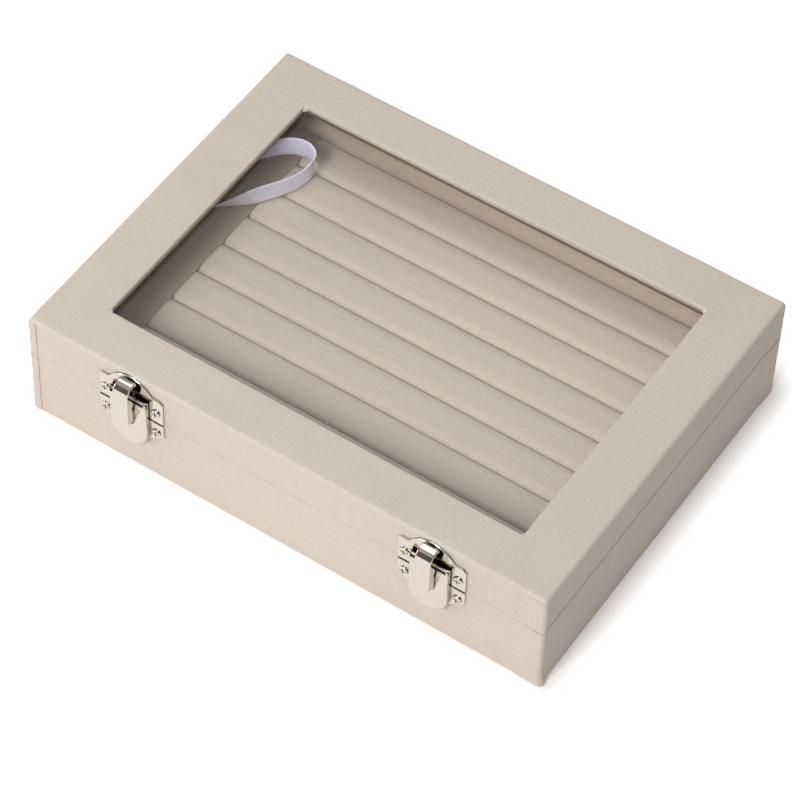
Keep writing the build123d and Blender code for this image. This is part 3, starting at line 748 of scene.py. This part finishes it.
class EARRINGBOX_OT_ledges(bpy.types.Operator):
    """Makes the velvet ledges at the two ends of the rolls"""

    bl_idname = "earring_box.ledges"
    bl_label = "Ledges"

    def execute(self, context):
        for side, sign in (("left", -1), ("right", 1)):
            low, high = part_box(f"side_ledge_{side}")
            inner = min(abs(low.x), abs(high.x))
            outer = max(abs(low.x), abs(high.x))
            edge = 0.6 * MM
            profile = [(outer, low.z), (inner, low.z), (inner, low.z + 6 * MM), (inner, high.z - edge)]
            for step in range(1, 7):
                turn = math.radians(90 * step / 6)
                profile.append((inner + edge * (1 - math.cos(turn)), high.z - edge * (1 - math.sin(turn))))
            profile += [(inner + (outer - inner) * t, high.z) for t in (0.2, 0.4, 0.6, 0.8, 1.0)]
            stations = [low.y + (high.y - low.y) * i / 60 for i in range(61)]
            points = []
            for y in stations:
                for across, z in profile:
                    dip = 0.0
                    if z > high.z - 2 * MM:
                        dip = 0.12 * MM * noise.noise(Vector((across * 120, y * 70, sign * 4.0)))
                    points.append((sign * across, y, z + min(dip, 0.0)))
            faces = skin(len(stations), len(profile))
            # The ledges' darker velvet is painted shade, standing in for the shadow under the lid's border
            ledge = new_piece(f"{side}_ledge_velvet", points, faces, finish("ledge velvet with painted shade"))
            finish_piece(ledge, "lining_velvet", "base", f"side_ledge_{side}")
        return {"FINISHED"}


class EARRINGBOX_OT_rolls(bpy.types.Operator):
    """Makes the row of velvet rolls from one roll form"""

    bl_idname = "earring_box.rolls"
    bl_label = "Velvet rolls"

    def execute(self, context):
        size = sizes()
        low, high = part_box("roll_1")
        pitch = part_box("roll_2")[0].y - low.y
        form = self.roll_form(low, high, size.roll_crown, size.roll_end)
        rolls = self.repeated(form, size.roll_count, pitch, (low.y + high.y) / 2)
        bpy.data.objects.remove(form)
        nodes = [f"roll_{number}" for number in range(1, size.roll_count + 1)]
        finish_piece(rolls, "roll_velvet", "base", *nodes)
        return {"FINISHED"}

    def roll_form(self, low, high, crown, end):
        """One roll along X, centred on Y: a crowned top, sides that pull in below, and rounded ends."""
        half, half_width = high.x, (high.y - low.y) / 2
        shoulder = high.z - crown
        # Each station is (x, how far the round end draws the sides in there)
        left = []
        for step in range(8):
            turn = math.radians(90 * step / 7)
            left.append((-half + end * (1 - math.cos(turn)), end * (1 - math.sin(turn))))
        middle = [(-half + end + 2 * (half - end) * i / 64, 0.0) for i in range(1, 64)]
        right = [(-x, inset) for x, inset in reversed(left)]
        stations = left + middle + right
        # The sides and the top of the round end draw in by these shares of it
        side_share, top_share = 0.3, 0.4
        points = []
        for x, inset in stations:
            width, top = half_width - side_share * inset, high.z - top_share * inset
            section = self.section(width, shoulder, top, low.z)
            points.extend((x, y, z) for y, z in section)
        faces = skin(len(stations), len(section))
        return new_piece("roll_form", points, faces, finish("roll velvet"))

    def section(self, half_width, shoulder, top, bottom):
        """(y, z) points round a roll's cross-section."""
        waist = half_width - 0.25 * MM
        # 2 would be an ellipse; more is flatter on top, with tighter grooves between the rolls
        fullness = 4.2
        points = [(-waist, bottom), (waist, bottom), (waist, (bottom + shoulder) / 2)]
        crown = top - shoulder
        for step in range(25):
            turn = math.radians(180 * step / 24)
            across, rise = math.cos(turn), math.sin(turn)
            full = (abs(across) ** fullness + abs(rise) ** fullness) ** (-1 / fullness)
            points.append((half_width * across * full, shoulder + crown * rise * full))
        points.append((-waist, (bottom + shoulder) / 2))
        return points

    def repeated(self, form, count, pitch, first_y):
        """The form repeated along Y by a Geometry Nodes tree, each a touch different, as one plain mesh."""
        tree = bpy.data.node_groups.new("roll row", "GeometryNodeTree")
        face = tree.interface
        face.new_socket("Geometry", in_out="INPUT", socket_type="NodeSocketGeometry")
        wanted = {
            "Roll form": ("NodeSocketObject", form),
            "Count": ("NodeSocketInt", count),
            "Pitch": ("NodeSocketFloat", pitch),
            "First Y": ("NodeSocketFloat", first_y),
            "Height change": ("NodeSocketFloat", 0.012),
            "Seed": ("NodeSocketInt", 5),
            "Material": ("NodeSocketMaterial", finish("roll velvet")),
        }
        keys = {}
        for label, (kind, _) in wanted.items():
            keys[label] = face.new_socket(label, in_out="INPUT", socket_type=kind).identifier
        face.new_socket("Geometry", in_out="OUTPUT", socket_type="NodeSocketGeometry")
        given = add_node(tree, "NodeGroupInput").outputs
        first = add_node(tree, "ShaderNodeCombineXYZ", {"Y": given["First Y"]}).outputs[0]
        step = add_node(tree, "ShaderNodeCombineXYZ", {"Y": given["Pitch"]}).outputs[0]
        inputs = {"Count": given["Count"], "Start Location": first, "Offset": step}
        line = add_node(tree, "GeometryNodeMeshLine", inputs).outputs[0]
        roll = add_node(tree, "GeometryNodeObjectInfo", {"Object": given["Roll form"]}).outputs["Geometry"]
        # Sockets 2 and 3 are the node's plain lowest and highest values, and its output 1 is the plain one
        inputs = {2: maths(tree, "SUBTRACT", 1.0, given["Height change"]), 3: 1.0, "Seed": given["Seed"]}
        height = add_node(tree, "FunctionNodeRandomValue", inputs, data_type="FLOAT").outputs[1]
        scale = add_node(tree, "ShaderNodeCombineXYZ", {"X": 1.0, "Y": 1.0, "Z": height}).outputs[0]
        inputs = {"Points": line, "Instance": roll, "Scale": scale}
        row = add_node(tree, "GeometryNodeInstanceOnPoints", inputs).outputs[0]
        real = add_node(tree, "GeometryNodeRealizeInstances", {"Geometry": row}).outputs[0]
        inputs = {"Geometry": real, "Material": given["Material"]}
        dressed = add_node(tree, "GeometryNodeSetMaterial", inputs).outputs[0]
        add_node(tree, "NodeGroupOutput", {"Geometry": dressed})
        holder = bpy.data.objects.new("roll_row", bpy.data.meshes.new("roll_row"))
        bpy.context.scene.collection.objects.link(holder)
        modifier = holder.modifiers.new("roll row", "NODES")
        modifier.node_group = tree
        for label, (_, value) in wanted.items():
            modifier[keys[label]] = value
        bpy.context.view_layer.update()
        graph = bpy.context.evaluated_depsgraph_get()
        mesh = bpy.data.meshes.new_from_object(holder.evaluated_get(graph), depsgraph=graph)
        bpy.data.objects.remove(holder)
        mesh.name = "velvet_rolls"
        rolls = bpy.data.objects.new("velvet_rolls", mesh)
        bpy.context.scene.collection.objects.link(rolls)
        for polygon in mesh.polygons:
            polygon.use_smooth = True
        return rolls


class EARRINGBOX_OT_ribbon(bpy.types.Operator):
    """Makes the satin ribbon that stops the lid"""

    bl_idname = "earring_box.ribbon"
    bl_label = "Ribbon stay"

    def execute(self, context):
        size = sizes()
        # (x, y, height of the band's middle line), in millimetres, from the lid wall to the base wall
        route = (
            (-92.7, 22.0, 32.5),
            (-90.3, 32.6, 32.6),
            (-86.8, 39.0, 32.6),
            (-83.0, 44.4, 32.5),
            (-79.2, 48.6, 31.7),
            (-75.4, 51.0, 29.8),
            (-72.0, 50.4, 27.3),
            (-70.9, 46.6, 25.3),
            (-72.2, 41.0, 24.6),
            (-75.2, 35.2, 24.5),
            (-78.7, 29.6, 24.6),
            (-82.2, 24.4, 24.7),
            (-85.6, 19.6, 24.7),
            (-88.7, 15.9, 24.6),
            (-91.6, 11.2, 24.5),
            (-92.7, -2.0, 24.4),
        )
        line = self.smooth_line([Vector(point) * MM for point in route])
        piece = self.band(line, size.ribbon_width, size.ribbon_thickness)
        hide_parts("lid_stay_ribbon")
        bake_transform(piece)
        return {"FINISHED"}

    def smooth_line(self, route):
        """Points along the route's smooth spline."""
        curve = bpy.data.curves.new("ribbon_route", "CURVE")
        curve.dimensions = "3D"
        curve.resolution_u = 12
        spline = curve.splines.new("NURBS")
        spline.points.add(len(route) - 1)
        for point, place in zip(spline.points, route):
            point.co = (*place, 1.0)
        spline.order_u = 3
        spline.use_endpoint_u = True
        holder = bpy.data.objects.new("ribbon_route", curve)
        bpy.context.scene.collection.objects.link(holder)
        bpy.context.view_layer.update()
        mesh = bpy.data.meshes.new_from_object(holder)
        line = [vertex.co.copy() for vertex in mesh.vertices]
        bpy.data.meshes.remove(mesh)
        bpy.data.objects.remove(holder)
        return line

    def band(self, line, width, thickness):
        """A thin band that follows the line, upright at the lid and leaning over near the base."""
        across_steps = 9
        total = sum((b - a).length for a, b in zip(line, line[1:]))
        run, rows = 0.0, []
        for i, place in enumerate(line):
            before, after = line[max(i - 1, 0)], line[min(i + 1, len(line) - 1)]
            if i:
                run += (place - line[i - 1]).length
            tangent = (after - before).normalized()
            side = tangent.cross(Vector((0, 0, 1))).normalized()
            lean = self.lean(run / total)
            up = (Vector((0, 0, 1)) * math.cos(lean) + side * math.sin(lean)).normalized()
            up = (up - tangent * up.dot(tangent)).normalized()
            rows.append((place, up, tangent.cross(up).normalized(), run))
        points, marks = [], []
        for place, up, face, run in rows:
            for sign in (1, -1):
                for j in range(across_steps):
                    t = (j / (across_steps - 1) - 0.5) * sign
                    bow = 0.18 * MM * (1 - 4 * t * t)
                    points.append(place + up * width * t + face * (sign * thickness / 2 + bow))
                    marks.append((run, t + 0.5))
        faces = skin(len(rows), 2 * across_steps)
        piece = new_piece("satin_ribbon", points, faces, finish("satin"))
        layer = piece.data.uv_layers.new(name="band")
        unit = 8 * MM
        for loop in piece.data.loops:
            run, share = marks[loop.vertex_index]
            layer.data[loop.index].uv = (run / unit, share)
        return piece

    def lean(self, share):
        """How far the band leans over, in radians, at this share of the way from the lid to the base."""
        most = math.radians(38.8)
        return -most * (smooth_share(share, 0.64, 0.84) - smooth_share(share, 0.90, 0.98))


class EARRINGBOX_OT_hardware(bpy.types.Operator):
    """Gives the CAD pieces that stay, such as the latches, hinges, glass and boards, their finishes"""

    bl_idname = "earring_box.hardware"
    bl_label = "Latches, hinges, glass and boards"

    def execute(self, context):
        finishes = (
            ("screws", "screw nickel"),
            ("spring", "spring steel"),
            ("_pin", "steel"),
            ("latch_", "nickel"),
            ("hinge_", "nickel"),
            ("glass_pane", "glass"),
            ("lid_top_board", "white board"),
            ("glass_retainer_frame", "dark card"),
            ("insert_backing_board", "dark card"),
            ("base_underside_cover", "linen"),
            ("_wall", "fibreboard"),
            ("base_floor_board", "fibreboard"),
        )
        for name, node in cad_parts.items():
            for part, look in finishes:
                if part in name and not name.endswith("lining"):
                    for place in node.material_slots:
                        place.material = finish(look)
                    break
        return {"FINISHED"}


class EARRINGBOX_PT_panel(bpy.types.Panel):
    """Lists the pieces of the box and the values that a user would change"""

    bl_idname = "EARRINGBOX_PT_panel"
    bl_label = "Earring Box"
    bl_space_type = "VIEW_3D"
    bl_region_type = "UI"
    bl_category = "Earring Box"

    def draw(self, context):
        for operator in operators:
            self.layout.operator(operator.bl_idname)
        for group in (context.scene.earring_box_sizes, context.scene.earring_box_colours):
            for name in group.__annotations__:
                self.layout.prop(group, name)


operators = (
    EARRINGBOX_OT_stage,
    EARRINGBOX_OT_ribbon,
    EARRINGBOX_OT_lid_cloth,
    EARRINGBOX_OT_base_cloth,
    EARRINGBOX_OT_corner_laps,
    EARRINGBOX_OT_linings,
    EARRINGBOX_OT_ledges,
    EARRINGBOX_OT_rolls,
    EARRINGBOX_OT_hardware,
)
classes = (EarringBoxSizes, EarringBoxColours, *operators, EARRINGBOX_PT_panel)


def register():
    for each in classes:
        bpy.utils.register_class(each)
    bpy.types.Scene.earring_box_sizes = bpy.props.PointerProperty(type=EarringBoxSizes)
    bpy.types.Scene.earring_box_colours = bpy.props.PointerProperty(type=EarringBoxColours)


def unregister():
    del bpy.types.Scene.earring_box_colours
    del bpy.types.Scene.earring_box_sizes
    for each in reversed(classes):
        bpy.utils.unregister_class(each)


def main():
    register()
    bpy.ops.earring_box.stage()
    bpy.ops.earring_box.ribbon()
    bpy.ops.earring_box.lid_cloth()
    bpy.ops.earring_box.base_cloth()
    bpy.ops.earring_box.corner_laps()
    bpy.ops.earring_box.linings()
    bpy.ops.earring_box.ledges()
    bpy.ops.earring_box.rolls()
    bpy.ops.earring_box.hardware()


if __name__ == "__main__":
    main()
